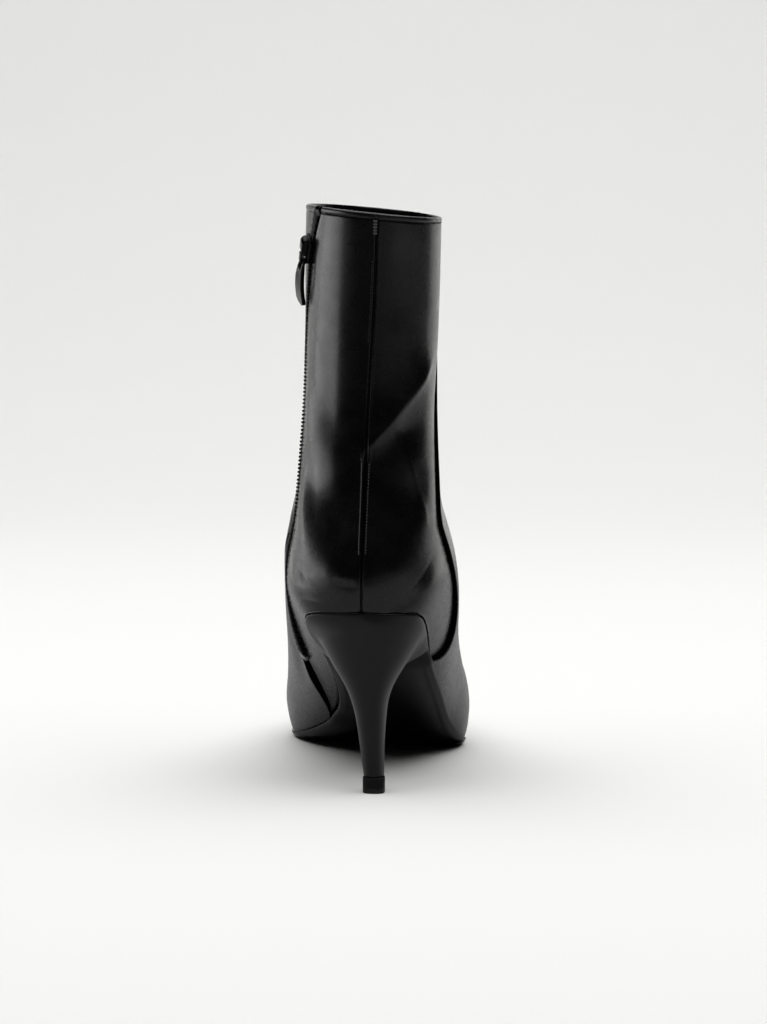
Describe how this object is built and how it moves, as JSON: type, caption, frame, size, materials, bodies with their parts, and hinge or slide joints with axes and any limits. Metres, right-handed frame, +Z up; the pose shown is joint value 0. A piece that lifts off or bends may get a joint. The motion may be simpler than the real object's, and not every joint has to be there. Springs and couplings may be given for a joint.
{
  "type": "ankle boot",
  "caption": "Right ankle boot with a pointed toe, a slim flared high heel, a front piece lapped over two quarters, a back seam and a zip with a hanging pull tab on its inner side.",
  "frame": {"origin": "middle of the heel tip's tread, on the floor", "axes": "+X to the outer side of the foot, +Y to the toe, +Z up"},
  "size_m": [0.0826, 0.2465, 0.2427],
  "materials": {
    "leather_black": "smooth coated, soft gloss with fine grain",
    "sole_black": "matt",
    "insole_black": "matt",
    "heel_satin_black": "satin lacquer",
    "tip_rubber": "matt",
    "zip_black": "nylon coil on woven tape",
    "stop_metal": "bare bright metal",
    "slider_black_metal": "black nickel, glossy"
  },
  "bodies": {
    "boot": {"upper": "leather_black", "outsole": "sole_black", "insole": "insole_black", "heel": "heel_satin_black", "heel_tip": "tip_rubber", "zip_chain": "zip_black", "zip_stop": "stop_metal", "zip_slider": "slider_black_metal"},
    "pull": {"zip_pull": "slider_black_metal"}
  },
  "joints": [
    {"name": "pull_hinge", "type": "hinge", "parent": "boot", "child": "pull", "pos_m": [-0.02986, 0.01277, 0.22057], "axis": [-0.2275, 0.8436, 0.4865], "range_deg": [0, 140]}
  ]
}
